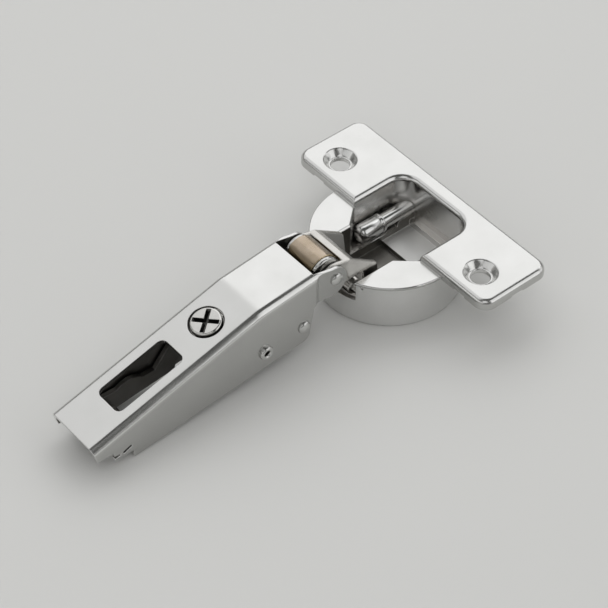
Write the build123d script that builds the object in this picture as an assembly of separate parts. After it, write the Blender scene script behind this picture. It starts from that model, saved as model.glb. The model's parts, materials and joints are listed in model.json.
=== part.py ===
"""Concealed cup hinge for a cabinet door, shown wide open.

Origin: on the cup's axis, level with the door face that the flange sits on.
+X runs along the flange, +Y from the arm's tail to the flange, +Z out of the door.
"""
import math
import os

from build123d import *

# Driving dimensions, in millimetres and degrees

# Cup and flange
cup_diameter = 35.0
cup_depth = 12.25
rim_overhang = 0.7
rim_thickness = 0.7
foot_round = 0.8
flange_length = 64.8
flange_front = -0.6
flange_rear = 19.4
flange_height = 2.65
flange_corner = 3.2
flange_edge_round = 1.4
flange_sheet = 1.1
skirt_relief_length = 3.5
skirt_relief_depth = 0.45
screw_spacing = 48.0
screw_offset = 6.0
screw_hole_diameter = 4.5
screw_seat_diameter = 8.0
screw_seat_depth = 1.75
screw_seat_land = 0.5
screw_seat_round = 0.6
screw_post_wall = 0.9

# Pocket and mouth of the cup
shoulder_width = 4.2
pocket_rear = 14.8
pocket_corner = 4.5
mouth_lip = 0.45
mouth_lip_slope = 40.0
shoulder_rear = -0.4
shoulder_front = -5.3
mouth_wall = 1.15
notch_level = -5.5
ledge_level = -8.8
floor_thickness = 1.9
floor_front = 4.6
channel_rear = 13.2
recess_thickness = 0.8
cup_dimple_at = (8.3, -1.2)
cup_dimple_radius = 0.45
cup_dimple_depth = 0.4

# Pivots of the linkage as (Y, Z) in the open position
outer_cup_pivot = (-10.2, -5.6)
inner_cup_pivot = (-13.7, -4.7)
knuckle_pivot = (-21.9, 5.3)
inner_arm_pivot = (-31.4, -3.3)
carrier_pivot = (-42.3, -4.0)
open_pivot_shift = (0.67, 0.31)
open_pivot_play = 0.9

# Fits
overrun = 1.0
running_clearance = 0.06
press_clearance = 0.02
side_clearance = 0.2
carrier_clearance = 0.3
lever_clearance = 0.4
mouth_clearance = 0.8
damper_wall_gap = 0.05

# Pins and rivets
cup_pin_radius = 1.2
cup_pin_seat = 1.9
knuckle_pin_radius = 1.3
knuckle_head_radius = 1.6
arm_pin_radius = 1.2
arm_pin_head_radius = 1.6
carrier_pin_radius = 1.3
carrier_pin_head_radius = 1.75
carrier_pin_bore_radius = 0.7
carrier_pin_flare = 0.4
rivet_head_height = 0.85
rivet_head_slope = 0.55

# Arm, folded from sheet
arm_half_width = 7.7
arm_sheet = 1.2
arm_fold_radius = 2.0
arm_front = (-27.9, 10.0)
arm_bend = (-43.3, 8.55)
arm_tail = (-88.7, -3.3)
arm_bend_radius = 14.0
arm_tail_height = 4.1
arm_foot_front = (-29.9, -7.9)
arm_foot_rear = (-78.4, -12.0)
arm_foot_corner = 2.2
arm_step_level = -9.8
arm_step_rear = -83.4
arm_throat = (-28.3, 1.5)
arm_throat_radius = 1.3
ear_centre = (-22.9, 4.65)
ear_radius = 4.1
ear_joggle = 0.4
ear_joggle_run = 0.9
ear_joggle_start = -27.0
screw_hole_at = -52.5
arm_screw_hole_diameter = 8.2
window_centre_at = -70.25
window_length = 18.5
window_width = 7.8
window_corner = 1.5
tail_slot_centre = (-80.0, -8.3)
tail_slot_length = 2.5
tail_slot_width = 0.6
tail_slot_angle = 22.0
tail_notch_end = (-82.1, -8.75)

# Links
link_sheet = 1.0
outer_link_knuckle_eye = 3.2
outer_link_cup_eye = 2.2
outer_link_elbow = (-10.9, 0.6)
outer_link_elbow_radius = 2.1
outer_link_hump = (-17.3, 6.5)
outer_link_hump_radius = 0.9
outer_link_throat_rise = 0.5
outer_link_web_front = -18.8
outer_link_web_rear = -15.4
inner_link_gap = 0.9
inner_link_thickness = 1.6
inner_link_eye = 2.05
inner_link_arch_rear = (-16.2, 1.35)
inner_link_arch_front = (-24.2, 1.1)
inner_link_bend_radius = 3.0
inner_link_slot_wall = 1.2

# Rolled closing spring
spring_outer_radius = 4.1
spring_strip = 1.15
spring_lap_step = 0.35
spring_shift_angle = 140.0

# Side-adjusting screw, along the arm's rear top
screw_head_diameter = 7.2
screw_head_rise = 0.5
screw_dome = 0.5
screw_collar_diameter = 9.4
screw_collar_thickness = 0.8
screw_shank_diameter = 4.0
screw_shank_length = 8.4
cross_length = 6.2
cross_width = 1.1
cross_depth = 1.3
cross_taper = 12.0
cross_angle = 36.0

# Clip carrier inside the arm
carrier_sheet = 1.2
carrier_eye = 2.6
carrier_web_drop = 5.0
carrier_web_front = -46.5
carrier_web_rear = -58.0
carrier_foot_rise = 0.9
carrier_rear = -83.0
carrier_rear_low = -7.6
carrier_rear_high = -4.9
carrier_waist = (-63.0, -6.0)
carrier_hump_centre = (-70.0, -9.6)
carrier_hump_radius = 5.2
carrier_hook_centre = (-55.0, -8.9)
carrier_hook_radius = 2.6

# Release lever at the tail
lever_pivot = (-79.8, -6.4)
lever_pin_radius = 0.9
lever_sheet = 1.2
lever_hub_radius = 1.9
lever_thumb = (-85.8, -7.1)
lever_thumb_radius = 0.65
lever_hook = (-75.6, -9.0)
lever_hook_radius = 1.0
lever_thumb_notch = 2.6
spring_wire_radius = 0.3
spring_wire_sides = 6
spring_coil_radius = 1.35
spring_coil_pitch = 0.75
spring_coil_length = 4.5

# Soft-closing dampers in the pocket
damper_level = -6.35
damper_sleeve_radius = 2.35
damper_sleeve_front = -1.6
damper_sleeve_rear = 5.7
damper_nose_slope = 0.9
damper_rod_radius = 1.85
damper_rod_front = 3.0
damper_bore_end = -0.8
damper_travel = 3.4
saddle_gap = 0.3
saddle_height = 0.9

# Values worked out from the driving dimensions
cup_radius = cup_diameter / 2
rim_radius = cup_radius + rim_overhang
cup_floor = floor_thickness - cup_depth
recess_floor = recess_thickness - cup_depth
above_all = flange_height + overrun
mouth_radius = cup_radius - mouth_wall
arm_inner_half_width = arm_half_width - arm_sheet
ear_half_width = arm_half_width - ear_joggle
link_outer_x = arm_inner_half_width - side_clearance
link_inner_x = link_outer_x - link_sheet
spring_half_length = link_inner_x - side_clearance
inner_link_half_width = link_inner_x - inner_link_gap
carrier_half_width = arm_inner_half_width - carrier_clearance
lever_half_width = carrier_half_width - carrier_sheet - lever_clearance
mouth_half_width = link_outer_x + mouth_clearance
pocket_half_width = mouth_half_width + shoulder_width
damper_offset = pocket_half_width - damper_sleeve_radius - damper_wall_gap
front_rise = (arm_front[1] - arm_bend[1]) / (arm_front[0] - arm_bend[0])
rear_slope = math.degrees(math.atan2(arm_bend[1] - arm_tail[1], arm_bend[0] - arm_tail[0]))
open_pivot = (inner_arm_pivot[0] + open_pivot_shift[0], inner_arm_pivot[1] + open_pivot_shift[1])
open_pivot_radius = arm_pin_radius + open_pivot_play


def slab(outline, x_low, x_high):
    """Side-view outline, drawn as (Y, Z), given a thickness along X."""
    return extrude(Plane.YZ.offset(x_low) * outline, amount=x_high - x_low, dir=(1, 0, 0))


def disc(centre, radius):
    """Round outline in the side view."""
    return Pos(*centre) * Circle(radius)


def both_sides(outline, x_inner, x_outer):
    """The same plate on the left and the right."""
    return slab(outline, x_inner, x_outer) + slab(outline, -x_outer, -x_inner)


def link_outline(*discs):
    """Outline drawn tight round several (centre, radius) discs."""
    edges = []
    for centre, radius in discs:
        edges += disc(centre, radius).edges()
    return make_hull(edges)


def corner(outline, point, radius):
    """Round the corner of an outline that lies nearest to a point."""
    return fillet(outline.vertices().sort_by_distance(Vector(*point))[0], radius)


def arm_top(y):
    """Height of the arm's rear top face at a place along the arm."""
    return arm_bend[1] + (y - arm_bend[0]) * math.tan(math.radians(rear_slope))


def arm_foot(y):
    """Height of the arm's lower side edge at a place along the arm."""
    share = (y - arm_foot_front[0]) / (arm_foot_rear[0] - arm_foot_front[0])
    return arm_foot_front[1] + share * (arm_foot_rear[1] - arm_foot_front[1])


def top_plane(y):
    """Plane lying in the arm's rear top face, with local Y towards the knuckle."""
    slope = math.radians(rear_slope)
    normal = (0, -math.sin(slope), math.cos(slope))
    return Plane(origin=(0, y, arm_top(y)), x_dir=(1, 0, 0), z_dir=normal)


def down_to(plan, level):
    """Plan outline cut from above everything down to a level."""
    return extrude(Pos(0, 0, level) * plan, amount=above_all - level, dir=(0, 0, 1))


def block(x_low, x_high, y_low, y_high):
    """Plan rectangle between two X and two Y values."""
    return Pos((x_low + x_high) / 2, (y_low + y_high) / 2) * Rectangle(x_high - x_low, y_high - y_low)


def pocket_outline(gap=0.0):
    """Plan of the pocket, or of a space a little inside its walls."""
    plan = block(-pocket_half_width + gap, pocket_half_width - gap, shoulder_rear, pocket_rear - gap)
    return fillet(plan.vertices().sort_by(Axis.Y)[-2:], pocket_corner - gap)


def along_pocket(radius, side, y_low, y_high):
    """Cylinder lying along Y on the axis of one damper."""
    plane = Plane.XZ.offset(-y_high) * Pos(side * damper_offset, damper_level)
    return extrude(plane * Circle(radius), amount=y_high - y_low, dir=(0, -1, 0))


def make_hinge_cup():
    # Flange: a pressed tray with turned-down edges, open at the pocket
    flange_plan = block(-flange_length / 2, flange_length / 2, flange_front, flange_rear)
    flange_plan = fillet(flange_plan.vertices(), flange_corner)
    pocket_plan = pocket_outline()
    pocket_gate = block(-pocket_half_width, pocket_half_width, flange_front - overrun, pocket_rear / 2)
    flange = extrude(flange_plan, amount=flange_height)
    flange -= down_to(pocket_plan + pocket_gate, -overrun)
    flange = fillet(flange.edges().group_by(Axis.Z)[-1], flange_edge_round)
    tray = offset(flange_plan, -flange_sheet, kind=Kind.INTERSECTION)
    tray -= Circle(rim_radius + flange_sheet)
    flange -= extrude(tray, amount=flange_height - flange_sheet)
    for side in (-1, 1):
        place = Pos(side * screw_spacing / 2, screw_offset)
        post = place * Circle(screw_seat_diameter / 2 + screw_post_wall)
        flange += extrude(post, amount=flange_height - flange_sheet)
        flange -= down_to(place * Circle(screw_hole_diameter / 2), -overrun)
        seat = Cone(
            screw_hole_diameter / 2 + screw_seat_land,
            screw_seat_diameter / 2,
            screw_seat_depth,
            align=(Align.CENTER, Align.CENTER, Align.MAX),
        )
        flange -= Pos(side * screw_spacing / 2, screw_offset, flange_height) * seat

        # Shallow reliefs in the lower edge of the skirt
        front_relief = Box(skirt_relief_length, 2 * flange_sheet, 2 * skirt_relief_depth)
        flange -= Pos(side * screw_spacing / 2, flange_front, 0) * front_relief
        end_relief = Box(2 * flange_sheet, skirt_relief_length, 2 * skirt_relief_depth)
        flange -= Pos(side * flange_length / 2, (flange_front + flange_rear) / 2, 0) * end_relief
    seat_edges = [edge for edge in flange.edges().group_by(Axis.Z)[-1] if edge.is_closed]
    flange = fillet(seat_edges, screw_seat_round)

    # Body: a round cup with a thin rim lying on the door
    body = Pos(0, 0, -cup_depth) * extrude(Circle(cup_radius), amount=cup_depth)
    body = fillet(body.edges().group_by(Axis.Z)[0], foot_round)
    rim = extrude(Circle(rim_radius), amount=rim_thickness)
    rim = fillet(rim.edges().group_by(Axis.Z)[-1], rim_thickness / 2)
    body += rim

    # Pocket with its shoulders, the mouth for the links, and the deeper floors
    shoulders = Polygon(
        (-pocket_half_width, shoulder_rear),
        (-mouth_half_width, shoulder_front),
        (mouth_half_width, shoulder_front),
        (pocket_half_width, shoulder_rear),
    )
    mouth = block(-mouth_half_width, mouth_half_width, -rim_radius - overrun, 0)
    inside = mouth & Circle(mouth_radius)
    channel = block(-mouth_half_width, mouth_half_width, 0, channel_rear) + inside
    recess = block(-mouth_half_width, mouth_half_width, 0, floor_front) + inside
    body -= down_to(pocket_plan + shoulders + inside, ledge_level)
    body -= down_to(mouth, notch_level)
    body -= down_to(channel, cup_floor)
    body -= down_to(recess, recess_floor)
    lip_level = rim_thickness - mouth_lip
    flare = extrude(Pos(0, 0, lip_level) * (shoulders + mouth), amount=overrun, taper=-mouth_lip_slope)
    body -= flare & down_to(block(-rim_radius, rim_radius, -2 * rim_radius, flange_front), lip_level)

    cup = body + flange
    for side in (-1, 1):
        # Saddle that carries the damper rod
        saddle_front = damper_sleeve_rear + damper_travel + saddle_gap
        saddle = Box(
            pocket_half_width - mouth_half_width,
            pocket_rear - saddle_front,
            damper_level - saddle_height - ledge_level,
            align=(Align.CENTER, Align.MIN, Align.MIN),
        )
        middle = side * (pocket_half_width + mouth_half_width) / 2
        saddle = (Pos(middle, saddle_front, ledge_level) * saddle) & down_to(pocket_plan, ledge_level)
        cup += saddle - along_pocket(damper_rod_radius + press_clearance, side, 0, pocket_rear)

        # Room for the damper sleeve to run past the shoulder
        sleeve_room = damper_sleeve_radius + side_clearance / 2
        cup -= along_pocket(sleeve_room, side, damper_sleeve_front - side_clearance, floor_front)

        # Blind seats for the pins of the two links
        wall = side * mouth_half_width
        deep = side * (mouth_half_width + cup_pin_seat)
        for pivot in (outer_cup_pivot, inner_cup_pivot):
            cup -= slab(disc(pivot, cup_pin_radius + press_clearance), min(wall, deep), max(wall, deep))

        # Small round dimple pressed into the cup's side beside the mouth
        dimple_x, dimple_z = cup_dimple_at
        dimple_y = -math.sqrt(cup_radius ** 2 - dimple_x ** 2)
        dimple = Rot(90, 0, 0) * Cylinder(cup_dimple_radius, 2 * cup_dimple_depth)
        cup -= Pos(side * dimple_x, dimple_y, dimple_z) * dimple
    return cup


def make_outer_link():
    # Two elbowed cheeks joined by a web in front of the spring
    cheek = link_outline(
        (knuckle_pivot, outer_link_knuckle_eye),
        (outer_link_hump, outer_link_hump_radius),
        (outer_link_elbow, outer_link_elbow_radius),
    )
    leg = link_outline((outer_link_elbow, outer_link_elbow_radius), (outer_cup_pivot, outer_link_cup_eye))
    web_lower_front = outer_link_hump[1]
    web_lower_rear = outer_link_hump[1] - (outer_link_web_rear - outer_link_hump[0])
    web_zone = Polygon(
        (outer_link_web_front, web_lower_front),
        (outer_link_web_rear, web_lower_rear),
        (outer_link_web_rear, knuckle_pivot[1] + 2 * outer_link_knuckle_eye),
        (outer_link_web_front, knuckle_pivot[1] + 2 * outer_link_knuckle_eye),
    )
    web = cheek & web_zone
    throat_level = outer_link_elbow[1] + outer_link_throat_rise
    throat = Polygon(
        (outer_cup_pivot[0] - outer_link_cup_eye, throat_level - outer_link_knuckle_eye),
        (outer_cup_pivot[0] - outer_link_cup_eye, throat_level),
        (knuckle_pivot[0], throat_level),
        (knuckle_pivot[0], throat_level - outer_link_knuckle_eye),
    )
    cheek = cheek - throat + leg
    link = both_sides(cheek, link_inner_x, link_outer_x) + slab(web, -link_outer_x, link_outer_x)
    link -= slab(disc(knuckle_pivot, knuckle_pin_radius + running_clearance), -arm_half_width, arm_half_width)
    link -= slab(disc(outer_cup_pivot, cup_pin_radius + running_clearance), -arm_half_width, arm_half_width)
    return link


def make_inner_link():
    # A strip that arches over the door's edge between the cup and the arm
    path = FilletPolyline(
        inner_cup_pivot,
        inner_link_arch_rear,
        inner_link_arch_front,
        open_pivot,
        radius=inner_link_bend_radius,
    )
    outline = trace(path, line_width=inner_link_thickness)
    outline += disc(inner_cup_pivot, inner_link_eye)
    outline += disc(open_pivot, open_pivot_radius + inner_link_slot_wall)
    outline -= disc(inner_cup_pivot, cup_pin_radius + running_clearance)
    outline -= disc(open_pivot, open_pivot_radius)
    return slab(outline, -inner_link_half_width, inner_link_half_width)


def arm_side_outline():
    slope = math.radians(rear_slope)
    tail_low = (
        arm_tail[0] + arm_tail_height * math.sin(slope),
        arm_tail[1] - arm_tail_height * math.cos(slope),
    )
    outline = Polygon(
        arm_front,
        arm_bend,
        arm_tail,
        tail_low,
        (arm_step_rear, tail_low[1]),
        (arm_step_rear, arm_step_level),
        (arm_foot_rear[0], arm_step_level),
        arm_foot_rear,
        arm_foot_front,
        arm_throat,
    )
    outline = corner(outline, arm_bend, arm_bend_radius)
    outline = corner(outline, arm_foot_front, arm_foot_corner)
    ear_top = (ear_centre[0], ear_centre[1] + ear_radius)
    ear_low = (ear_centre[0], ear_centre[1] - ear_radius)
    nose = Polygon(arm_front, arm_throat, ear_low, ear_top)
    outline = outline + nose + disc(ear_centre, ear_radius)
    return corner(outline, arm_throat, arm_throat_radius)


def make_hinge_arm():
    arm = slab(arm_side_outline(), -arm_half_width, arm_half_width)

    # Rounded folds along both long edges of the top
    folds = []
    for edge in arm.edges():
        middle = edge.center()
        front_top = arm_front[1] + (middle.Y - arm_front[0]) * front_rise
        top = min(front_top, arm_top(middle.Y))
        along = edge.length > 2 * arm_sheet and abs(middle.X) > arm_inner_half_width
        if along and middle.Y < arm_front[0] and abs(middle.Z - top) < arm_sheet / 2:
            folds.append(edge)
    arm = fillet(folds, arm_fold_radius)

    # Open channel below the top, and an open nose between the ears
    hollow = Polygon(
        (arm_front[0], arm_front[1] - arm_sheet),
        (arm_bend[0], arm_bend[1] - arm_sheet),
        (arm_tail[0] - 2 * arm_sheet, arm_top(arm_tail[0] - 2 * arm_sheet) - arm_sheet),
        (arm_tail[0] - 2 * arm_sheet, 2 * arm_foot_rear[1]),
        (arm_front[0], 2 * arm_foot_rear[1]),
    )
    hollow = corner(hollow, (arm_bend[0], arm_bend[1] - arm_sheet), arm_bend_radius - arm_sheet)
    channel = slab(hollow, -arm_inner_half_width, arm_inner_half_width)
    inner_folds = []
    for edge in channel.edges():
        middle = edge.center()
        upper = middle.Z > arm_tail[1] - 2 * arm_sheet and abs(edge.tangent_at(0.5).Z) < 0.5
        if upper and abs(middle.X) > arm_sheet and edge.length > 2 * arm_sheet:
            inner_folds.append(edge)
    arm -= fillet(inner_folds, arm_fold_radius - arm_sheet)
    nose_gap = Pos(arm_front[0], 0) * Rectangle(
        -arm_front[0], 4 * cup_depth, align=(Align.MIN, Align.CENTER)
    )
    arm -= slab(nose_gap, -arm_inner_half_width, arm_inner_half_width)
    for side in (-1, 1):
        joggle = Polygon(
            (side * arm_half_width, ear_joggle_start - ear_joggle_run),
            (side * ear_half_width, ear_joggle_start),
            (side * ear_half_width, 0),
            (side * 2 * arm_half_width, 0),
            (side * 2 * arm_half_width, ear_joggle_start - ear_joggle_run),
        )
        arm -= extrude(joggle, amount=2 * cup_depth, both=True)

    # Holes for the rivets, the adjusting screw and the window
    arm -= slab(disc(knuckle_pivot, knuckle_pin_radius + press_clearance), -arm_half_width, arm_half_width)
    arm -= slab(disc(inner_arm_pivot, arm_pin_radius + press_clearance), -arm_half_width, arm_half_width)
    arm -= slab(disc(carrier_pivot, carrier_pin_radius + press_clearance), -arm_half_width, arm_half_width)
    deep = 2 * arm_sheet
    arm -= extrude(top_plane(screw_hole_at) * Circle(arm_screw_hole_diameter / 2), amount=deep, both=True)
    window = RectangleRounded(window_width, window_length, window_corner)
    arm -= extrude(top_plane(window_centre_at) * window, amount=deep, both=True)
    tail_slot = Rot(0, 0, tail_slot_angle) * SlotOverall(tail_slot_length, tail_slot_width)
    arm -= slab(Pos(*tail_slot_centre) * tail_slot, -arm_half_width, arm_half_width)
    notch_length = tail_notch_end[0] - arm_step_rear + overrun
    tail_notch = Rectangle(notch_length, tail_slot_width, align=(Align.MAX, Align.CENTER))
    tail_notch += Circle(tail_slot_width / 2)
    arm -= slab(Pos(*tail_notch_end) * tail_notch, -arm_half_width, arm_half_width)
    return arm


def make_rivet(pivot, radius, head_radius, half_length):
    # A pin with an upset head on the outside of each side plate
    rivet = slab(disc(pivot, radius), -half_length, half_length)
    for low in (half_length, -half_length - rivet_head_height):
        head = slab(disc(pivot, head_radius), low, low + rivet_head_height)
        outer_face = head.faces().sort_by(Axis.X)[-1 if low > 0 else 0]
        rivet += chamfer(outer_face.edges(), rivet_head_slope)
    return rivet


def make_carrier_pin():
    pin = make_rivet(carrier_pivot, carrier_pin_radius, carrier_pin_head_radius, arm_half_width)
    full = arm_half_width + rivet_head_height
    pin -= slab(disc(carrier_pivot, carrier_pin_bore_radius), -full, full)
    rims = pin.edges().filter_by(GeomType.CIRCLE)
    bore_rims = [rim for rim in rims if rim.radius < carrier_pin_bore_radius + press_clearance]
    return chamfer(bore_rims, carrier_pin_flare)


def make_cup_pin_stub(side):
    inner = side * (link_inner_x - side_clearance)
    outer = side * (mouth_half_width + cup_pin_seat)
    return slab(disc(outer_cup_pivot, cup_pin_radius), min(inner, outer), max(inner, outer))


def make_inner_cup_pin():
    reach = mouth_half_width + cup_pin_seat
    return slab(disc(inner_cup_pivot, cup_pin_radius), -reach, reach)


def make_closing_spring():
    # A roll of strip hanging on the knuckle pin, with its outer end lapped over
    core_radius = spring_outer_radius - spring_strip
    shift = core_radius - knuckle_pin_radius - press_clearance
    angle = math.radians(spring_shift_angle)
    centre = (knuckle_pivot[0] + shift * math.cos(angle), knuckle_pivot[1] + shift * math.sin(angle))
    lap = disc(centre, spring_outer_radius) & (Pos(*centre) * Rectangle(
        2 * spring_outer_radius, 2 * spring_outer_radius, align=(Align.CENTER, Align.MIN)
    ))
    roll = disc(centre, spring_outer_radius - spring_lap_step) + lap
    roll -= disc(centre, core_radius)
    return slab(roll, -spring_half_length, spring_half_length)


def make_adjusting_screw():
    # Built along +Z with the arm's outer top face at zero, then laid on the arm
    below_plate = -arm_sheet - running_clearance
    head = extrude(Circle(screw_head_diameter / 2), amount=screw_head_rise - below_plate)
    head = fillet(head.edges().group_by(Axis.Z)[-1], screw_dome)
    collar = extrude(Circle(screw_collar_diameter / 2), amount=-screw_collar_thickness)
    shank = extrude(Circle(screw_shank_diameter / 2), amount=-screw_shank_length)
    screw = Pos(0, 0, below_plate) * (head + collar + shank)
    cross = Rectangle(cross_length, cross_width) + Rectangle(cross_width, cross_length)
    cut = extrude(cross, amount=cross_depth, dir=(0, 0, -1), taper=cross_taper)
    screw -= Pos(0, 0, screw_head_rise) * Rot(0, 0, cross_angle) * cut
    return top_plane(screw_hole_at).location * screw


def make_clip_carrier():
    web_high = arm_top(carrier_web_front) - carrier_web_drop
    web_low = arm_top(carrier_web_rear) - carrier_web_drop
    wall = Polygon(
        (carrier_pivot[0], carrier_pivot[1] + carrier_eye),
        (carrier_web_front, web_high),
        (carrier_web_rear, web_low),
        carrier_waist,
        (carrier_rear, carrier_rear_high),
        (carrier_rear, carrier_rear_low),
        (arm_foot_rear[0], arm_foot(arm_foot_rear[0]) + carrier_foot_rise),
        (carrier_web_front, arm_foot(carrier_web_front) + carrier_foot_rise),
        (carrier_pivot[0], carrier_pivot[1] - carrier_eye),
    )
    below = Polygon(
        (arm_tail[0], arm_foot(arm_tail[0]) + carrier_foot_rise),
        (carrier_pivot[0], arm_foot(carrier_pivot[0]) + carrier_foot_rise),
        (carrier_pivot[0], -3 * cup_depth),
        (arm_tail[0], -3 * cup_depth),
    )
    wall += disc(carrier_pivot, carrier_eye)
    wall += disc(carrier_hump_centre, carrier_hump_radius) - below
    wall -= disc(carrier_hook_centre, carrier_hook_radius)
    carrier = both_sides(wall, carrier_half_width - carrier_sheet, carrier_half_width)
    web = Polygon(
        (carrier_web_front, web_high - carrier_sheet),
        (carrier_web_front, web_high),
        (carrier_web_rear, web_low),
        (carrier_web_rear, web_low - carrier_sheet),
    )
    carrier += slab(web, -carrier_half_width, carrier_half_width)
    thread_radius = screw_shank_diameter / 2 + side_clearance
    carrier -= extrude(top_plane(screw_hole_at) * Circle(thread_radius), amount=-2 * carrier_web_drop)
    reach = arm_half_width
    carrier -= slab(disc(carrier_pivot, carrier_pin_radius + running_clearance), -reach, reach)
    carrier -= slab(disc(lever_pivot, lever_pin_radius + press_clearance), -reach, reach)
    return carrier


def make_release_lever():
    # Two cheeks on the pin, a hook bar in front and a notched thumb plate behind
    hub = (lever_pivot, lever_hub_radius)
    cheek = link_outline(hub, (lever_hook, lever_hook_radius))
    tail = link_outline((lever_pivot, lever_thumb_radius), (lever_thumb, lever_thumb_radius))
    behind_hub = Rectangle(2 * lever_hub_radius, 4 * lever_hub_radius)
    lever = both_sides(cheek + tail, lever_half_width - lever_sheet, lever_half_width)
    lever += slab(disc(lever_hook, lever_hook_radius), -lever_half_width, lever_half_width)
    lever += slab(tail - Pos(*lever_pivot) * behind_hub, -lever_half_width, lever_half_width)
    notch = Pos(*lever_thumb) * Rectangle(4 * lever_thumb_radius, 4 * lever_thumb_radius)
    lever -= slab(notch, -lever_thumb_notch, lever_thumb_notch)
    lever -= slab(disc(lever_pivot, lever_pin_radius + running_clearance), -arm_half_width, arm_half_width)
    return lever


def make_lever_spring():
    coil = Helix(pitch=spring_coil_pitch, height=spring_coil_length, radius=spring_coil_radius)
    section = RegularPolygon(spring_wire_radius, spring_wire_sides)
    wire = sweep(Plane(origin=coil @ 0, z_dir=coil % 0) * section, path=coil, is_frenet=True)
    return Plane.YZ.offset(-spring_coil_length / 2).location * Pos(*lever_pivot) * wire


def make_damper_rod(side):
    # Its rear end is shaped to the rounded corner of the pocket
    rod = along_pocket(damper_rod_radius, side, damper_rod_front, pocket_rear)
    return rod & down_to(pocket_outline(press_clearance), ledge_level)


def make_damper_sleeve(side):
    sleeve = along_pocket(damper_sleeve_radius, side, damper_sleeve_front, damper_sleeve_rear)
    sleeve = chamfer(sleeve.edges().group_by(Axis.Y)[0], damper_nose_slope)
    bore_radius = damper_rod_radius + running_clearance
    return sleeve - along_pocket(bore_radius, side, damper_bore_end, damper_sleeve_rear)


nodes = {
    "hinge_cup": make_hinge_cup(),
    "inner_link_cup_pin": make_inner_cup_pin(),
    "outer_link": make_outer_link(),
    "inner_link": make_inner_link(),
    "hinge_arm": make_hinge_arm(),
    "knuckle_pin": make_rivet(knuckle_pivot, knuckle_pin_radius, knuckle_head_radius, ear_half_width),
    "inner_link_arm_pin": make_rivet(inner_arm_pivot, arm_pin_radius, arm_pin_head_radius, arm_half_width),
    "carrier_pivot_pin": make_carrier_pin(),
    "closing_spring": make_closing_spring(),
    "side_adjusting_screw": make_adjusting_screw(),
    "clip_carrier": make_clip_carrier(),
    "release_lever": make_release_lever(),
    "lever_pin": slab(disc(lever_pivot, lever_pin_radius), -carrier_half_width, carrier_half_width),
    "lever_spring": make_lever_spring(),
}
for side, name in ((-1, "left"), (1, "right")):
    nodes["outer_link_cup_pin_" + name] = make_cup_pin_stub(side)
    nodes["damper_rod_" + name] = make_damper_rod(side)
    nodes["damper_sleeve_" + name] = make_damper_sleeve(side)

os.makedirs("parts", exist_ok=True)
for name, solid in nodes.items():
    export_step(solid, os.path.join("parts", name + ".step"))
    print(name, round(solid.volume, 2))
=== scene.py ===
import json
import math

import bmesh
import bpy
from mathutils import Matrix, Vector
from mathutils.bvhtree import BVHTree

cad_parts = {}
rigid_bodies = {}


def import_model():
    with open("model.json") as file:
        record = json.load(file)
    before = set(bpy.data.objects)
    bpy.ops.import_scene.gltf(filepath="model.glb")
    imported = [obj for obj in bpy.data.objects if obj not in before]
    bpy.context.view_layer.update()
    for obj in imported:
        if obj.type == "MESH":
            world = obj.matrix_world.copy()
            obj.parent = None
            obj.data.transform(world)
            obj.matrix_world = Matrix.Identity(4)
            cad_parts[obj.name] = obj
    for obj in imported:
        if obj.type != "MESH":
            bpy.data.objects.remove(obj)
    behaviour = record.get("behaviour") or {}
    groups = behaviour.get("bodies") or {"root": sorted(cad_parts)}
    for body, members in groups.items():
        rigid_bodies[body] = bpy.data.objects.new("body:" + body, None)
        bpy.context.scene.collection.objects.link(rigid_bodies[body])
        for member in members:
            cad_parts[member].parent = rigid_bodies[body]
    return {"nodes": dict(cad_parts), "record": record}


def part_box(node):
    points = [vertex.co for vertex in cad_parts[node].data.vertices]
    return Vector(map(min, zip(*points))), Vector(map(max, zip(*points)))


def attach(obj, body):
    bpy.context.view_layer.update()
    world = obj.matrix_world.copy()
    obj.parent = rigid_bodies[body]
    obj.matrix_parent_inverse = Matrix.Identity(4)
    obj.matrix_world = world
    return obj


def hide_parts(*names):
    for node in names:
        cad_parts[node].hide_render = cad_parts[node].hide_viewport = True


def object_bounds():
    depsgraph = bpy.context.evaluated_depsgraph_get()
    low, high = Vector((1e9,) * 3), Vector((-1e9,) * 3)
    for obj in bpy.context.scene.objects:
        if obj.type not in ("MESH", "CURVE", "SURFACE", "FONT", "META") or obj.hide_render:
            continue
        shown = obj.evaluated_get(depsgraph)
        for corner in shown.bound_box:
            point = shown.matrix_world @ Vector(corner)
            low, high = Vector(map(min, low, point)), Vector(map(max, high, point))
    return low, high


for old in list(bpy.data.objects):
    bpy.data.objects.remove(old)
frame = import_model()
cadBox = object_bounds()
nodes = frame["nodes"]
record = frame["record"]
scene = bpy.context.scene
mm = 0.001
bodyOf = {}
for body, members in record["behaviour"]["bodies"].items():
    for member in members:
        bodyOf[member] = body
slotOf = {entry["node"]: entry["material_slot"] for entry in record["subparts"]}
print("frame loaded:", len(nodes), "nodes")


def linear(hexColour):
    parts = [int(hexColour[i:i + 2], 16) / 255 for i in (1, 3, 5)]
    return tuple(c / 12.92 if c <= 0.04045 else ((c + 0.055) / 1.055) ** 2.4 for c in parts) + (1.0,)


def addNode(tree, kind, settings=None, inputs=None):
    node = tree.nodes.new(kind)
    for name, value in (settings or {}).items():
        setattr(node, name, value)
    for name, value in (inputs or {}).items():
        if isinstance(value, bpy.types.NodeSocket):
            tree.links.new(value, node.inputs[name])
        else:
            node.inputs[name].default_value = value
    return node


def perMm(size):
    return 1.0 / (size * mm)  # texture scale for a feature of that many millimetres


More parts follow.
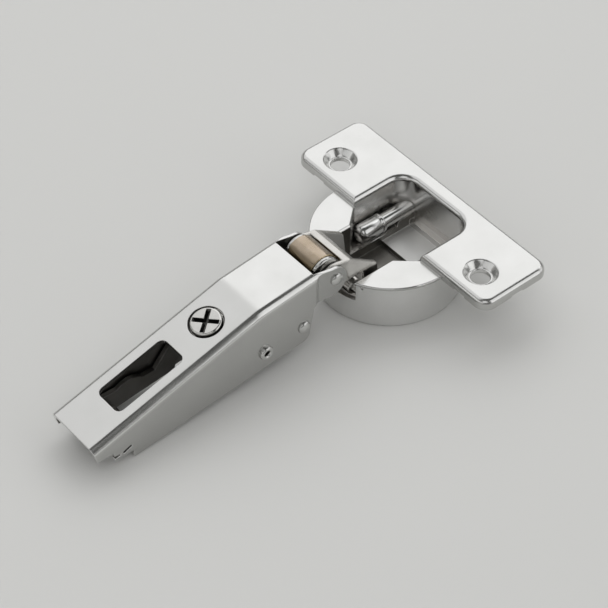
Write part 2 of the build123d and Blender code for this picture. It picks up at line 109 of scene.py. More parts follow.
# a metal sheet or bar: colour drift, smudged polish, drawing lines and a fine plating grain
# (the real lines and grain are finer than a picture shows, so they are drawn coarser)
def metal(finish):
    material = bpy.data.materials.new(finish["name"])
    material.use_nodes = True
    tree = material.node_tree
    tree.nodes.clear()
    place = addNode(tree, "ShaderNodeTexCoord").outputs["Object"]
    drift = addNode(tree, "ShaderNodeTexNoise", {}, {
        "Vector": place, "Scale": perMm(finish["driftMm"]), "Detail": 3.0, "Roughness": 0.5})
    stretch = addNode(tree, "ShaderNodeMapping", {"vector_type": "POINT"}, {
        "Vector": place, "Scale": tuple(perMm(size) for size in finish["lineMm"])})
    lines = addNode(tree, "ShaderNodeTexNoise", {}, {
        "Vector": stretch.outputs["Vector"], "Scale": 1.0, "Detail": 4.0, "Roughness": 0.6})
    grain = addNode(tree, "ShaderNodeTexNoise", {}, {
        "Vector": place, "Scale": perMm(finish["grainMm"]), "Detail": 2.0, "Roughness": 0.5})
    # the mix node's factor and colours go by number
    tint = addNode(tree, "ShaderNodeMix", {"data_type": "RGBA"}, {
        0: drift.outputs["Fac"], 6: linear(finish["colour"]), 7: linear(finish["colourWorn"])}).outputs[2]
    polish = addNode(tree, "ShaderNodeMapRange", {}, {
        "Value": drift.outputs["Fac"], "From Min": 0.3, "From Max": 0.7,
        "To Min": finish["rough"][0], "To Max": finish["rough"][1]})
    rough = addNode(tree, "ShaderNodeMath", {"operation": "MULTIPLY_ADD"}, {
        0: lines.outputs["Fac"], 1: finish["lineRough"], 2: polish.outputs["Result"]}).outputs["Value"]
    if "deep" in finish:  # below a given height: hazier, and darker by painted shade
        deep = finish["deep"]
        height = addNode(tree, "ShaderNodeSeparateXYZ", {}, {"Vector": place}).outputs["Z"]
        shadeShare = addNode(tree, "ShaderNodeMapRange", {"interpolation_type": "SMOOTHSTEP"}, {
            "Value": height, "From Min": deep["fromMm"] * mm, "From Max": deep["toMm"] * mm,
            "To Min": 0.0, "To Max": 1.0}).outputs["Result"]
        rough = addNode(tree, "ShaderNodeMath", {"operation": "MULTIPLY_ADD"}, {
            0: shadeShare, 1: deep["addRough"], 2: rough}).outputs["Value"]
        tint = addNode(tree, "ShaderNodeMix", {"data_type": "RGBA"}, {
            0: shadeShare, 6: tint, 7: linear(deep["colour"])}).outputs[2]
    lineBump = addNode(tree, "ShaderNodeBump", {}, {
        "Strength": 1.0, "Distance": finish["lineDepthMm"] * mm, "Height": lines.outputs["Fac"]})
    grainBump = addNode(tree, "ShaderNodeBump", {}, {
        "Strength": 1.0, "Distance": finish["grainDepthMm"] * mm, "Height": grain.outputs["Fac"],
        "Normal": lineBump.outputs["Normal"]})
    shader = addNode(tree, "ShaderNodeBsdfPrincipled", {}, {
        "Base Color": tint, "Metallic": finish.get("metallic", 1.0), "Roughness": rough,
        "Normal": grainBump.outputs["Normal"]})
    addNode(tree, "ShaderNodeOutputMaterial", {}, {"Surface": shader.outputs["BSDF"]})
    return material


finishes = {
    # bright nickel over drawn steel: warm white mirror, slightly hazed, drawing lines along the arm
    "polished_nickel": metal({
        "name": "brightNickelSheet", "colour": "#e1e1e0", "colourWorn": "#d6d6d4",
        "rough": (0.15, 0.23), "lineRough": 0.05, "driftMm": 9.0,
        "lineMm": (0.25, 7.0, 0.25), "lineDepthMm": 0.0012, "grainMm": 0.45, "grainDepthMm": 0.0010}),
    # barrel-plated stampings: the same nickel, a little greyer and more hazed by tumbling
    "link_nickel": metal({
        "name": "barrelNickelStamping", "colour": "#d3d1cd", "colourWorn": "#c4c2be",
        "rough": (0.16, 0.25), "lineRough": 0.05, "driftMm": 4.0,
        "lineMm": (0.3, 3.0, 0.3), "lineDepthMm": 0.0010, "grainMm": 0.5, "grainDepthMm": 0.0008}),
    # upset rivets: bright steel with small hammered facets
    "pin_steel": metal({
        "name": "rivetSteel", "colour": "#d6d6d4", "colourWorn": "#c6c6c4",
        "rough": (0.14, 0.22), "lineRough": 0.04, "driftMm": 1.6,
        "lineMm": (0.4, 0.4, 0.4), "lineDepthMm": 0.0015, "grainMm": 0.5, "grainDepthMm": 0.0030}),
    # drawn damper tube: clear mirror with rings left by the die
    "damper_steel": metal({
        "name": "drawnDamperTube", "colour": "#e0e0df", "colourWorn": "#d3d3d2",
        "rough": (0.12, 0.19), "lineRough": 0.04, "driftMm": 3.0,
        "lineMm": (0.4, 0.2, 0.4), "lineDepthMm": 0.0008, "grainMm": 0.5, "grainDepthMm": 0.0008}),
    # plated screw: white quadrants; its darker driver recess is painted shade, from its own finish
    "screw_nickel": metal({
        "name": "platedScrew", "colour": "#e0dfdc", "colourWorn": "#d0cfcc",
        "rough": (0.13, 0.21), "lineRough": 0.04, "driftMm": 2.0,
        "lineMm": (0.5, 0.5, 0.5), "lineDepthMm": 0.0012, "grainMm": 0.35, "grainDepthMm": 0.0015}),
    # spring strip tempered brown: olive-brown oxide skin, tan on the crest of the roll and darker below it as
    # painted shade
    "tempered_spring_strip": metal({
        "name": "temperedSpringStrip", "colour": "#c3b5a5", "colourWorn": "#a4947e",
        "rough": (0.18, 0.26), "lineRough": 0.08, "driftMm": 2.6, "metallic": 0.95,
        "lineMm": (3.0, 0.4, 0.4), "lineDepthMm": 0.0015, "grainMm": 0.3, "grainDepthMm": 0.0012,
        "deep": {"fromMm": 10.35, "toMm": 8.5, "addRough": 0.08, "colour": "#6f6149"}}),
    # hard-drawn spring wire
    "spring_wire": metal({
        "name": "springWire", "colour": "#a9a8a5", "colourWorn": "#8f8e8b",
        "rough": (0.20, 0.30), "lineRough": 0.05, "driftMm": 1.5,
        "lineMm": (0.2, 1.0, 1.0), "lineDepthMm": 0.0010, "grainMm": 0.3, "grainDepthMm": 0.0010}),
}
# further finishes for some faces of a piece
faceFinishes = {
    # inside of the drawn cup: the same nickel, a little hazier towards the bottom and greyer there as painted
    # shade
    "cupInside": metal({
        "name": "satinDrawnCup", "colour": "#e1e1e0", "colourWorn": "#d6d6d4",
        "rough": (0.15, 0.23), "lineRough": 0.05, "driftMm": 9.0,
        "lineMm": (0.25, 7.0, 0.25), "lineDepthMm": 0.0012, "grainMm": 0.45, "grainDepthMm": 0.0010,
        "deep": {"fromMm": 1.6, "toMm": -5.0, "addRough": 0.05, "colour": "#d4d2cf"}}),
    # outer wall and floor plate of the cup: drawn satin, so they take a soft even light
    "cupWall": metal({
        "name": "satinCupWall", "colour": "#e1e1e0", "colourWorn": "#d2d2d0",
        "rough": (0.26, 0.36), "lineRough": 0.06, "driftMm": 8.0, "metallic": 0.75,
        "lineMm": (5.0, 5.0, 0.3), "lineDepthMm": 0.0015, "grainMm": 0.45, "grainDepthMm": 0.0012}),
    # deep recess under the links: the nickel darkened as painted shade
    "cupRecessShade": metal({
        "name": "paintedShadeRecess", "colour": "#8c8a86", "colourWorn": "#6e6c68",
        "rough": (0.26, 0.38), "lineRough": 0.08, "driftMm": 3.0,
        "lineMm": (0.3, 3.0, 0.3), "lineDepthMm": 0.0015, "grainMm": 0.5, "grainDepthMm": 0.0015}),
    # driver recess of the screw: darkened as painted shade
    "screwRecessShade": metal({
        "name": "paintedShadeDriverRecess", "colour": "#6a6967", "colourWorn": "#4c4b49",
        "rough": (0.25, 0.40), "lineRough": 0.05, "driftMm": 0.8,
        "lineMm": (0.4, 0.4, 0.4), "lineDepthMm": 0.0012, "grainMm": 0.3, "grainDepthMm": 0.0015}),
    # inside of the arm and the carrier in it: grey plating darkened as painted shade for the enclosed channel
    "armInsideShade": metal({
        "name": "paintedShadeChannel", "colour": "#94928f", "colourWorn": "#7d7b78",
        "rough": (0.28, 0.38), "lineRough": 0.08, "driftMm": 5.0,
        "lineMm": (0.25, 7.0, 0.25), "lineDepthMm": 0.0015, "grainMm": 0.45, "grainDepthMm": 0.0012}),
    # flanks of the arm and skirt of the flange: a little greyer than the tops, as painted shade
    "flankShade": metal({
        "name": "paintedShadeFlank", "colour": "#c6c6c4", "colourWorn": "#bcbcba",
        "rough": (0.16, 0.24), "lineRough": 0.05, "driftMm": 9.0,
        "lineMm": (0.25, 7.0, 0.25), "lineDepthMm": 0.0012, "grainMm": 0.45, "grainDepthMm": 0.0010}),
    # inner faces of the links: satin, so they pick up light from all round
    "linkInside": metal({
        "name": "satinLinkInside", "colour": "#d3d2cf", "colourWorn": "#c0bfbc",
        "rough": (0.42, 0.52), "lineRough": 0.06, "driftMm": 3.0, "metallic": 0.5,
        "lineMm": (0.3, 3.0, 0.3), "lineDepthMm": 0.0010, "grainMm": 0.5, "grainDepthMm": 0.0010}),
    # cut edges of the spring strip: sheared bright and straw coloured by the tempering
    "stripEdge": metal({
        "name": "strawCutEdge", "colour": "#dccba2", "colourWorn": "#bfa878",
        "rough": (0.16, 0.26), "lineRough": 0.05, "driftMm": 1.5,
        "lineMm": (0.3, 0.3, 0.3), "lineDepthMm": 0.0010, "grainMm": 0.3, "grainDepthMm": 0.0010}),
}
print("finishes made:", len(finishes) + len(faceFinishes))


# a piece takes its mesh's name
def addPiece(mesh, body, slot, standsFor=None):
    piece = bpy.data.objects.new(mesh.name, mesh)
    scene.collection.objects.link(piece)
    mesh.materials.append(finishes[slot])
    if standsFor:
        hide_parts(standsFor)
    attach(piece, body)
    return piece


dressed = set()


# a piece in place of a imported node, on that node's body and with its slot
def standIn(node, mesh):
    dressed.add(node)
    return addPiece(mesh, bodyOf[node], slotOf[node], node)


def addFinish(piece, name):
    piece.data.materials.append(faceFinishes[name])
    return len(piece.data.materials) - 1


def meshFrom(work, name):
    mesh = bpy.data.meshes.new(name)
    work.to_mesh(mesh)
    work.free()
    return mesh


edgeWork = {
    "fromAngle": 20,  # faces that meet at more than this make a sharp edge
    "flatAngle": 0.2,  # faces that differ by less are joined
    "cellsPerM": 1e7, "mergeM": 2e-7,  # grid that points are matched on, and how near two points are one
    "sliver": 1.5,  # an edge beside a face narrower than this many widths is left as it is
    "stray": 0.7,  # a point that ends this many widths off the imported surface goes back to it
    "faceWeight": 60,
}


def gridPoint(point):
    return tuple(round(c * edgeWork["cellsPerM"]) for c in point)


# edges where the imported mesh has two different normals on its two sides
def sharpEdges(source):
    normals = [Vector(n.vector) for n in source.corner_normals]
    sides = {}
    for face in source.polygons:
        loops = list(face.loop_indices)
        for i, loop in enumerate(loops):
            ends = []
            for corner in (loop, loops[(i + 1) % len(loops)]):
                point = source.vertices[source.loops[corner].vertex_index].co
                ends.append((gridPoint(point), normals[corner]))
            ends.sort(key=lambda end: end[0])
            (start, startNormal), (stop, stopNormal) = ends
            sides.setdefault((start, stop), []).append((startNormal, stopNormal))
    bent = math.cos(math.radians(edgeWork["fromAngle"]))
    sharp = set()
    for pair, both in sides.items():
        if len(both) == 2 and min(first.dot(second) for first, second in zip(*both)) < bent:
            sharp.add(pair)
    return sharp


# how far a face goes from one of its edges
def faceReach(edge, face):
    start = edge.verts[0].co
    along = (edge.verts[1].co - start).normalized()
    return max((v.co - start - along * (v.co - start).dot(along)).length for v in face.verts)


# takes a node's mesh, keeps its shape and breaks its sharp edges as tumbling does
def eased(name, easing):
    source = nodes[name].data
    sharp = sharpEdges(source)
    work = bmesh.new()
    work.from_mesh(source)
    bmesh.ops.remove_doubles(work, verts=work.verts, dist=edgeWork["mergeM"])
    for edge in work.edges:
        edge.smooth = tuple(sorted(gridPoint(v.co) for v in edge.verts)) not in sharp
    bmesh.ops.dissolve_limit(
        work, angle_limit=math.radians(edgeWork["flatAngle"]), verts=work.verts, edges=work.edges,
        delimit={"SHARP"})
    before = BVHTree.FromBMesh(work)
    width = easing["widthMm"] * mm
    narrow = edgeWork["sliver"] * width
    corners = []
    for edge in work.edges:
        if not edge.smooth and min(faceReach(edge, face) for face in edge.link_faces) > narrow:
            corners.append(edge)
    bmesh.ops.bevel(
        work, geom=corners, offset=width, offset_type="OFFSET", segments=easing["steps"],
        profile=0.5, affect="EDGES", clamp_overlap=False)
    for vert in work.verts:
        nearest, _, _, far = before.find_nearest(vert.co)
        if far > edgeWork["stray"] * width:
            vert.co = nearest
    for face in work.faces:
        face.smooth = True
    piece = standIn(name, meshFrom(work, name + "_eased"))
    shade = piece.modifiers.new("flatFaces", "WEIGHTED_NORMAL")
    shade.weight = edgeWork["faceWeight"]
    shade.keep_sharp = False
    return piece


easedPieces = {
    "hinge_cup": {"widthMm": 0.12, "steps": 2},
    "hinge_arm": {"widthMm": 0.14, "steps": 2},
    "outer_link": {"widthMm": 0.36, "steps": 3},
    "inner_link": {"widthMm": 0.30, "steps": 3},
    "clip_carrier": {"widthMm": 0.16, "steps": 2},
    "release_lever": {"widthMm": 0.14, "steps": 2},
    "side_adjusting_screw": {"widthMm": 0.10, "steps": 2},
    "damper_rod_left": {"widthMm": 0.25, "steps": 3},
    "damper_rod_right": {"widthMm": 0.25, "steps": 3},
}
easedOf = {}
for name, easing in easedPieces.items():
    easedOf[name] = eased(name, easing)
    print("eased", name, len(easedOf[name].data.polygons), "faces")

# share of a face's normal along an axis, from a face that leans to one square to it
facing = {"leaning": 0.5, "mostly": 0.8, "flat": 0.9, "square": 0.95}

# cup: hazier inside and greyer towards the bottom as painted shade, painted shade in the recess under the
# links, satin wall and floor plate, greyer flange skirt as painted shade
cup = {
    "pocketHalfMm": 11.45, "pocketFrontMm": -0.75, "pocketRearMm": 14.95, "pocketTopMm": 2.4,
    "mouthReachMm": 17.3, "mouthTopMm": 0.2, "plateTopMm": -9.5, "wallReachMm": 17.2,
    "recessHalfMm": 7.4, "recessRearMm": 4.75, "recessTopMm": -1.5, "recessReachMm": 16.6,
    "skirtReachMm": 17.6, "skirtTopMm": 2.4, "seatMm": 4.8,
}
flangeScrews = next(mount for mount in record["mounts"] if mount["name"] == "flange_screws")
screwAcrossMm = flangeScrews["dims"]["spacing_x_mm"] / 2
screwAlongMm = flangeScrews["pos_m"][1] / mm
piece = easedOf["hinge_cup"]
hazyShadedInside = addFinish(piece, "cupInside")
recessShade = addFinish(piece, "cupRecessShade")
satin = addFinish(piece, "cupWall")
shadedFlank = addFinish(piece, "flankShade")
for face in piece.data.polygons:
    x, y, z = (c / mm for c in face.center)
    reach = math.hypot(x, y)
    upright = abs(face.normal.z) < facing["leaning"]
    facesUp = face.normal.z > -facing["leaning"]
    alongPocket = cup["pocketFrontMm"] < y < cup["pocketRearMm"]
    inPocket = abs(x) < cup["pocketHalfMm"] and alongPocket and z < cup["pocketTopMm"]
    inMouth = z < cup["mouthTopMm"] and reach < cup["mouthReachMm"]
    underLinks = abs(x) < cup["recessHalfMm"] and y < cup["recessRearMm"]
    inRecess = underLinks and z < cup["recessTopMm"] and reach < cup["recessReachMm"]
    onPlate = face.normal.z > facing["flat"] and z < cup["plateTopMm"] and y > cup["recessRearMm"]
    onWall = upright and reach > cup["wallReachMm"] and z < 0.0
    byScrew = math.hypot(abs(x) - screwAcrossMm, y - screwAlongMm) < cup["seatMm"]
    onSkirt = upright and reach > cup["skirtReachMm"] and 0.0 < z < cup["skirtTopMm"]
    if onWall or onPlate:
        face.material_index = satin
    elif onSkirt and not byScrew and not inPocket:
        face.material_index = shadedFlank
    elif facesUp and inRecess:
        face.material_index = recessShade
    elif facesUp and (inPocket or inMouth):
        face.material_index = hazyShadedInside

# outer link: satin inner faces of its two side plates
piece = easedOf["outer_link"]
satin = addFinish(piece, "linkInside")
for face in piece.data.polygons:
    if face.center.x * face.normal.x < 0 and abs(face.normal.x) > facing["mostly"]:
        face.material_index = satin

# arm: painted shade inside its channel, like the carrier in it, and greyer on its flanks as painted shade
channel = {"halfWidthMm": 6.62}
piece = easedOf["hinge_arm"]
channelShade = addFinish(piece, "armInsideShade")
shadedFlank = addFinish(piece, "flankShade")
for face in piece.data.polygons:
    x = face.center.x / mm
    inward = x * face.normal.x < 0 and abs(face.normal.x) > facing["leaning"]
    if abs(x) < channel["halfWidthMm"] and (inward or face.normal.z < -facing["leaning"]):
        face.material_index = channelShade
    elif x * face.normal.x > 0 and abs(face.normal.x) > facing["square"]:
        face.material_index = shadedFlank
# the carrier takes the channel's painted shade
easedOf["clip_carrier"].data.materials[0] = faceFinishes["armInsideShade"]

# adjusting screw: painted shade in the driver recess, from just under the crown to its bottom
driver = {"reachMm": 3.3, "underMm": 0.12, "deepMm": 2.4}
screwTurn = next(joint for joint in record["behaviour"]["joints"] if joint["child"] == "side_screw")
screwAxis = Vector(screwTurn["axis"])
screwThroughMm = Vector(screwTurn["pos_m"]) / mm
piece = easedOf["side_adjusting_screw"]
driverShade = addFinish(piece, "screwRecessShade")
crown = max((vert.co / mm - screwThroughMm).dot(screwAxis) for vert in piece.data.vertices)
for face in piece.data.polygons:
    spot = face.center / mm - screwThroughMm
    level = spot.dot(screwAxis)
    offAxis = (spot - screwAxis * level).length
    if crown - driver["deepMm"] < level < crown - driver["underMm"] and offAxis < driver["reachMm"]:
        face.material_index = driverShade
print("face finishes set")

creaseAngle = 42  # turned faces that meet at more than this keep a crisp edge


# turns a profile of (along, radius) points round an axis through a centre, all in millimetres
def lathe(name, axis, centre, profile, around=40):
    order = {"x": (0, 1, 2), "y": (1, 2, 0), "z": (2, 0, 1)}[axis]
    work = bmesh.new()
    rings = []
    for along, radius in profile:
        ring = []
        for i in range(around if radius > 1e-6 else 1):  # a point on the axis is one vertex
            angle = 2 * math.pi * i / around
            point = [0.0, 0.0, 0.0]
            point[order[0]] = along
            point[order[1]] = centre[order[1]] + radius * math.cos(angle)
            point[order[2]] = centre[order[2]] + radius * math.sin(angle)
            ring.append(work.verts.new([c * mm for c in point]))
        rings.append(ring)
    for first, second in zip(rings, rings[1:]):
        for i in range(around):
            j = (i + 1) % around
            corners = [first[i % len(first)], first[j % len(first)]]
            corners += [second[j % len(second)], second[i % len(second)]]
            unique = list(dict.fromkeys(corners))
            if len(unique) > 2:
                work.faces.new(unique)
    bmesh.ops.recalc_face_normals(work, faces=work.faces)
    for face in work.faces:
        face.smooth = True
    mesh = meshFrom(work, name)
    mesh.set_sharp_from_angle(angle=math.radians(creaseAngle))
    return mesh


def arc(along, radius, size, fromAngle, toAngle, steps=8):
    points = []
    for i in range(steps + 1):
        angle = math.radians(fromAngle + (toAngle - fromAngle) * i / steps)
        points.append((along + size * math.cos(angle), radius + size * math.sin(angle)))
    return points


# rivets: a shank with a low dome on each side, or a rolled rim where the rivet is hollow
rivets = {
    "knuckle_pin": {"shankMm": 1.3},
    "inner_link_arm_pin": {"shankMm": 1.2},
    "carrier_pivot_pin": {"shankMm": 1.3, "boreMm": 0.7},
}
rivetHead = {"highMm": 0.85, "edgeMm": 0.14, "domeSteps": 10, "liftMm": 0.03, "breakMm": 0.04,
             "rimMm": 0.55, "boreStopMm": 0.75, "rimSteps": 12}
for name, rivet in rivets.items():
    low, high = (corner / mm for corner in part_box(name))
    headRadius = (high.y - low.y) / 2
    tip = high.x
    seat = tip - rivetHead["highMm"]
    rightHalf = []
    if "boreMm" in rivet:
        crest = (rivet["boreMm"] + headRadius) / 2
        rolled = (headRadius - rivet["boreMm"]) / 2
        rightHalf += [(0.0, rivet["boreMm"]), (tip - rivetHead["boreStopMm"], rivet["boreMm"])]
        for i in range(rivetHead["rimSteps"] + 1):
            turn = math.pi * i / rivetHead["rimSteps"]
            along = tip - rivetHead["rimMm"] + rivetHead["rimMm"] * math.sin(turn)
            rightHalf.append((along, crest - rolled * math.cos(turn)))
    else:
        rise = rivetHead["highMm"] - rivetHead["edgeMm"]
        for i in range(rivetHead["domeSteps"] + 1):
            turn = math.pi / 2 * i / rivetHead["domeSteps"]
            along = seat + rivetHead["edgeMm"] + rise * math.cos(turn)
            rightHalf.append((along, headRadius * math.sin(turn)))
    rightHalf += [(seat + rivetHead["liftMm"], headRadius), (seat, headRadius - rivetHead["breakMm"])]
    rightHalf += [(seat, rivet["shankMm"])]
    leftHalf = [(-along, radius) for along, radius in reversed(rightHalf)]
    standIn(name, lathe(name + "_domed", "x", (low + high) / 2, rightHalf + leftHalf))
print("rivets made:", len(rivets))

# damper sleeves: bullet nose, crimped groove near the open end
damper = {"noseMm": 1.5, "wallMm": 0.44, "bottomMm": 0.8, "mouthMm": 0.2, "mouthBreakMm": 0.06,
          "grooveAtMm": 1.0, "grooveMm": 0.22, "grooveHalfMm": 0.35, "lipHalfMm": 0.25, "lipMm": 0.05}
for name in ("damper_sleeve_left", "damper_sleeve_right"):
    low, high = (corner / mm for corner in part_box(name))
    radius = (high.x - low.x) / 2
    groove = high.y - damper["grooveAtMm"]
    bore = radius - damper["wallMm"]
    sleeveProfile = [(low.y, 0.0), (low.y, radius - damper["noseMm"])]
    sleeveProfile += arc(low.y + damper["noseMm"], radius - damper["noseMm"], damper["noseMm"], 180, 90)[1:]
    sleeveProfile += [
        (groove - damper["grooveHalfMm"], radius),
        (groove - damper["lipHalfMm"], radius - damper["lipMm"]),
        (groove, radius - damper["grooveMm"]),
        (groove + damper["lipHalfMm"], radius - damper["lipMm"]),
        (groove + damper["grooveHalfMm"], radius),
        (high.y - damper["mouthMm"], radius),
        (high.y - damper["mouthBreakMm"], radius - damper["mouthBreakMm"]),
        (high.y, radius - damper["mouthMm"]),
        (high.y, bore),
        (low.y + damper["bottomMm"], bore),
        (low.y + damper["bottomMm"], 0.0),
    ]
    standIn(name, lathe(name + "_drawn", "y", (low + high) / 2, sleeveProfile, 48))
print("damper sleeves made")

# eyelets: the rolled ring at the bottom of each screw seat
bothSides = ((-1, "left"), (1, "right"))
eyelet = {"levelMm": 0.9, "sinkMm": 0.05, "rollMm": 0.27}
holeMm = flangeScrews["dims"]["hole_r_mm"]
for side, label in bothSides:
    seatAxis = Vector((side * screwAcrossMm, screwAlongMm, 0.0))
    ringProfile = arc(
        eyelet["levelMm"] - eyelet["sinkMm"], holeMm + eyelet["rollMm"], eyelet["rollMm"], -90, 90, 10)
    addPiece(lathe("eyelet_" + label, "z", seatAxis, ringProfile, 48), "cup", "polished_nickel")
print("eyelets made")

# pocket details: a pressed dimple in each side wall and the bright rolled edge of each ledge
dimple = {"wallMm": 11.4, "alongMm": 6.4, "levelMm": -3.6, "radiusMm": 1.0, "riseMm": 0.22, "sinkMm": 0.04,
          "steps": 8}
ledge = {"halfWidthMm": 7.2, "levelMm": -8.8, "fromMm": 1.2, "toMm": 6.0, "rollMm": 0.2, "sinkMm": 0.06,
         "endMm": 0.1, "endShare": 0.6}
for side, label in bothSides:
    dimpleProfile = []
    for i in range(dimple["steps"] + 1):
        turn = math.pi / 2 * i / dimple["steps"]
        rise = dimple["riseMm"] * math.cos(turn) - dimple["sinkMm"]
        dimpleProfile.append((side * (dimple["wallMm"] - rise), dimple["radiusMm"] * math.sin(turn)))
    dimpleAxis = Vector((0.0, dimple["alongMm"], dimple["levelMm"]))
    addPiece(lathe("wall_dimple_" + label, "x", dimpleAxis, dimpleProfile, 32), "cup", "polished_nickel")
    endRadius = ledge["endShare"] * ledge["rollMm"]
    ledgeProfile = [
        (ledge["fromMm"], 0.0), (ledge["fromMm"], endRadius),
        (ledge["fromMm"] + ledge["endMm"], ledge["rollMm"]),
        (ledge["toMm"] - ledge["endMm"], ledge["rollMm"]),
        (ledge["toMm"], endRadius), (ledge["toMm"], 0.0),
    ]
    acrossMm = side * (ledge["halfWidthMm"] + ledge["sinkMm"])
    ledgeAxis = Vector((acrossMm, 0.0, ledge["levelMm"] - ledge["sinkMm"]))
    addPiece(lathe("ledge_edge_" + label, "y", ledgeAxis, ledgeProfile, 20), "cup", "polished_nickel")
print("pocket details made")

# closing spring: one strip rolled three times round the knuckle, its cut end slanting across the roll
strip = {"thickMm": 0.25, "turns": 3.4, "coreMm": 2.95, "endAngle": 146.0, "slant": 10.0, "shortMm": 1.0,
         "steps": 240, "rows": 8, "rimMm": 0.08, "rimAngle": 50, "outermostMm": 0.2}
low, high = (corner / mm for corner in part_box("closing_spring"))
rollRadius = (high.y - low.y) / 2
rollY = (high.y + low.y) / 2
rollZ = high.z - rollRadius
growth = (rollRadius - strip["coreMm"] - strip["thickMm"]) / strip["turns"]
firstAngle = strip["endAngle"] - 360 * strip["turns"]
work = bmesh.new()
skins = []
for drop in (0.0, strip["thickMm"]):
    skin = []
    for row in range(strip["rows"] + 1):
        across = -1 + 2 * row / strip["rows"]
        lastAngle = strip["endAngle"] + strip["slant"] * across
        line = []
        for step in range(strip["steps"] + 1):
            angle = firstAngle + (lastAngle - firstAngle) * step / strip["steps"]
            radius = rollRadius - growth * max(0.0, strip["endAngle"] - angle) / 360 - drop
            turn = math.radians(angle)
            point = (across * (high.x - strip["shortMm"]),
                     rollY + radius * math.cos(turn), rollZ + radius * math.sin(turn))
            line.append(work.verts.new([c * mm for c in point]))
        skin.append(line)
    skins.append(skin)
for skin in skins:
    for row in range(strip["rows"]):
        for step in range(strip["steps"]):
            work.faces.new(
                (skin[row][step], skin[row][step + 1], skin[row + 1][step + 1], skin[row + 1][step]))
outside, inside = skins
for step in range(strip["steps"]):
    for row in (0, strip["rows"]):
        work.faces.new((outside[row][step], outside[row][step + 1], inside[row][step + 1], inside[row][step]))
for row in range(strip["rows"]):
    for step in (0, strip["steps"]):
        work.faces.new((outside[row][step], outside[row + 1][step], inside[row + 1][step], inside[row][step]))
bmesh.ops.recalc_face_normals(work, faces=work.faces)
rims = [edge for edge in work.edges if edge.calc_face_angle(0.0) > math.radians(strip["rimAngle"])]
rounded = bmesh.ops.bevel(
    work, geom=rims, offset=strip["rimMm"] * mm, offset_type="OFFSET", segments=2, profile=0.5, affect="EDGES")
rimFaces = set(rounded["faces"])
for face in work.faces:
    face.smooth = True
    spot = face.calc_center_median() / mm
    outermost = math.hypot(spot.y - rollY, spot.z - rollZ) > rollRadius - strip["outermostMm"]
    face.material_index = 1 if face in rimFaces and outermost else 0
piece = standIn("closing_spring", meshFrom(work, "closing_spring_rolled"))
addFinish(piece, "stripEdge")

# bright bush that the strip is rolled on, with a rounded collar at each end
bush = {"radiusMm": 2.86, "collarMm": 3.75, "collarAtMm": 4.16, "endMm": 5.08, "roundMm": 0.5}
bushProfile = [(bush["endMm"], 0.0)]
bushProfile += arc(bush["endMm"] - bush["roundMm"], bush["collarMm"] - bush["roundMm"], bush["roundMm"], 0, 90)
bushProfile += [(bush["collarAtMm"], bush["collarMm"]), (bush["collarAtMm"], bush["radiusMm"])]
bushProfile += [(-along, radius) for along, radius in reversed(bushProfile)]
addPiece(lathe("spring_bush", "x", Vector((0.0, rollY, rollZ)), bushProfile, 48), "arm", "pin_steel")
print("closing spring rolled")

# lever spring: round wire wound close on the lever pin
coil = {"wireMm": 0.3, "pitchMm": 0.75, "steps": 26, "sides": 10}
low, high = (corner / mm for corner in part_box("lever_spring"))
coilRadius = (high.y - low.y) / 2 - coil["wireMm"]
coilLength = high.x - low.x - 2 * coil["wireMm"]
turns = coilLength / coil["pitchMm"]
count = round(turns * coil["steps"])
sideways = Vector((1.0, 0.0, 0.0))
work = bmesh.new()
rings = []
for step in range(count + 1):
    turn = 2 * math.pi * turns * step / count
    outward = Vector((0.0, math.cos(turn), math.sin(turn)))
    alongMm = low.x + coil["wireMm"] + coilLength * step / count
    wireCentre = Vector((alongMm, (low.y + high.y) / 2, (low.z + high.z) / 2)) + outward * coilRadius
    ring = []
    for side in range(coil["sides"]):
        angle = 2 * math.pi * side / coil["sides"]
        offset = (outward * math.cos(angle) + sideways * math.sin(angle)) * coil["wireMm"]
        ring.append(work.verts.new((wireCentre + offset) * mm))
    rings.append(ring)
for first, second in zip(rings, rings[1:]):
    for side in range(coil["sides"]):
        after = (side + 1) % coil["sides"]
        work.faces.new((first[side], first[after], second[after], second[side]))
work.faces.new(rings[0])
work.faces.new(rings[-1])
bmesh.ops.recalc_face_normals(work, faces=work.faces)
for face in work.faces:
    face.smooth = len(face.verts) == 4  # the two cut ends stay flat
standIn("lever_spring", meshFrom(work, "lever_spring_wound"))
print("lever spring wound:", round(turns, 1), "turns")

# the pins in the cup and the lever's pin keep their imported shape
for name, node in nodes.items():
    if name not in dressed:
        node.data.materials.clear()
        node.data.materials.append(finishes[slotOf[name]])
print("packed shapes kept:", len(nodes) - len(dressed))

# pale studio floor of matte paper: even pale grey with no gloss
paper = {"sizeM": 6.0, "colour": "#d6d6d4", "rough": 0.6, "specular": 0.2}
floorLevel = cadBox[0].z
floorHalf = paper["sizeM"] / 2
floorCorners = [(x * floorHalf, y * floorHalf, floorLevel) for x, y in ((-1, -1), (1, -1), (1, 1), (-1, 1))]
floorMesh = bpy.data.meshes.new("studioFloor")
floorMesh.from_pydata(floorCorners, [], [(0, 1, 2, 3)])
floor = bpy.data.objects.new("studioFloor", floorMesh)
scene.collection.objects.link(floor)
floorPaper = bpy.data.materials.new("matteStudioPaper")
floorPaper.use_nodes = True
floorTree = floorPaper.node_tree
floorTree.nodes.clear()
floorShader = addNode(floorTree, "ShaderNodeBsdfPrincipled", {}, {
    "Base Color": linear(paper["colour"]), "Roughness": paper["rough"],
    "Specular IOR Level": paper["specular"]})
addNode(floorTree, "ShaderNodeOutputMaterial", {}, {"Surface": floorShader.outputs["BSDF"]})
floorMesh.materials.append(floorPaper)

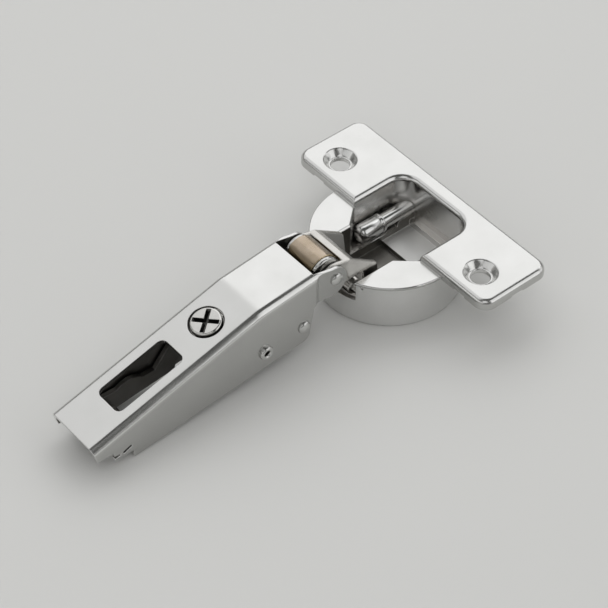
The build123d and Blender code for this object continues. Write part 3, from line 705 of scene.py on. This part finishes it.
# studio light: radiance 1 shows as white in a mirror
# each box stands so many degrees across (+X) and along (+Y) from overhead, and spreads that far to each side
softboxes = [
    {"name": "backSoftbox", "across": -38, "along": 34, "spread": (29, 24), "radiance": 1.07},
    {"name": "tailSoftbox", "across": -38, "along": -10, "spread": (29, 20), "radiance": 0.76},
    {"name": "frontSoftbox", "across": -34, "along": -44, "spread": (24, 12), "radiance": 0.25},
    {"name": "cornerSoftbox", "across": 36, "along": -27, "spread": (17, 15), "radiance": 0.75},
    {"name": "sideSoftbox", "across": 58, "along": 24, "spread": (24, 18), "radiance": 0.9},
    {"name": "farSoftbox", "across": 34, "along": 58, "spread": (26, 13), "radiance": 0.7},
    {"name": "nearSoftbox", "across": 0, "along": -66, "spread": (34, 13), "radiance": 0.6},
    {"name": "topFill", "across": -10, "along": 8, "spread": (40, 40), "radiance": 0.5, "unseen": True},
    {"name": "frontFill", "across": 35, "along": -32, "spread": (24, 20), "radiance": 0.55, "unseen": True},
]
lampAim = Vector((0.0, -0.03, 0.0))
lampFar = 0.9
for box in softboxes:
    lamp = bpy.data.lights.new(box["name"], "AREA")
    lamp.shape = "RECTANGLE"
    lamp.size, lamp.size_y = (2 * lampFar * math.tan(math.radians(spread)) for spread in box["spread"])
    lamp.energy = box["radiance"] * math.pi * lamp.size * lamp.size_y
    holder = bpy.data.objects.new(box["name"], lamp)
    scene.collection.objects.link(holder)
    across, along = math.radians(box["across"]), math.radians(box["along"])
    towards = Vector((math.sin(across) * math.cos(along), math.sin(along), math.cos(across) * math.cos(along)))
    lampRight = Vector((0.0, 1.0, 0.0)).cross(towards).normalized()
    turned = Matrix((lampRight, towards.cross(lampRight), towards)).transposed()
    holder.matrix_world = Matrix.Translation(lampAim + towards * lampFar) @ turned.to_4x4()
    holder.visible_camera = False
    holder.visible_glossy = not box.get("unseen", False)

# pale studio walls under a dim ceiling
room = {"walls": "#949492", "wallsTo": 0.05, "ceiling": "#525250", "ceilingFrom": 0.55}
world = bpy.data.worlds.new("studioRoom")
scene.world = world
world.use_nodes = True
roomTree = world.node_tree
roomTree.nodes.clear()
skyward = addNode(roomTree, "ShaderNodeTexCoord").outputs["Generated"]
height = addNode(roomTree, "ShaderNodeSeparateXYZ", {}, {"Vector": skyward}).outputs["Z"]
overhead = addNode(roomTree, "ShaderNodeMapRange", {"interpolation_type": "SMOOTHSTEP"}, {
    "Value": height, "From Min": room["wallsTo"], "From Max": room["ceilingFrom"]}).outputs["Result"]
roomColour = addNode(roomTree, "ShaderNodeMix", {"data_type": "RGBA"}, {
    0: overhead, 6: linear(room["walls"]), 7: linear(room["ceiling"])}).outputs[2]
glow = addNode(roomTree, "ShaderNodeBackground", {}, {"Color": roomColour, "Strength": 1.0})
addNode(roomTree, "ShaderNodeOutputWorld", {}, {"Surface": glow.outputs["Background"]})
print("stage lit:", len(softboxes), "lamps")

# camera at the photograph's viewing angle
viewpoint = {
    "azimuth": 49.74, "elevation": 45.94, "roll": 0.57, "farMm": 489.64,
    "targetMm": (6.68, -30.64, 2.65), "lensMm": 132.7, "sensorMm": 36.0, "clipMm": 10.0,
}
azimuth, elevation, roll = (math.radians(viewpoint[angle]) for angle in ("azimuth", "elevation", "roll"))
back = Vector((
    math.sin(azimuth) * math.cos(elevation), -math.cos(azimuth) * math.cos(elevation), math.sin(elevation)))
right = Vector((math.cos(azimuth), math.sin(azimuth), 0.0))
up = back.cross(right)
rolledRight = right * math.cos(roll) + up * math.sin(roll)
rolledUp = up * math.cos(roll) - right * math.sin(roll)
lens = bpy.data.cameras.new("photoCamera")
lens.lens = viewpoint["lensMm"]
lens.sensor_width = viewpoint["sensorMm"]
lens.clip_start = viewpoint["clipMm"] * mm
camera = bpy.data.objects.new("photoCamera", lens)
scene.collection.objects.link(camera)
eye = Vector(viewpoint["targetMm"]) * mm + back * viewpoint["farMm"] * mm
camera.matrix_world = Matrix.Translation(eye) @ Matrix((rolledRight, rolledUp, back)).transposed().to_4x4()
scene.camera = camera
scene.view_settings.view_transform = "Standard"

print("scene ready")
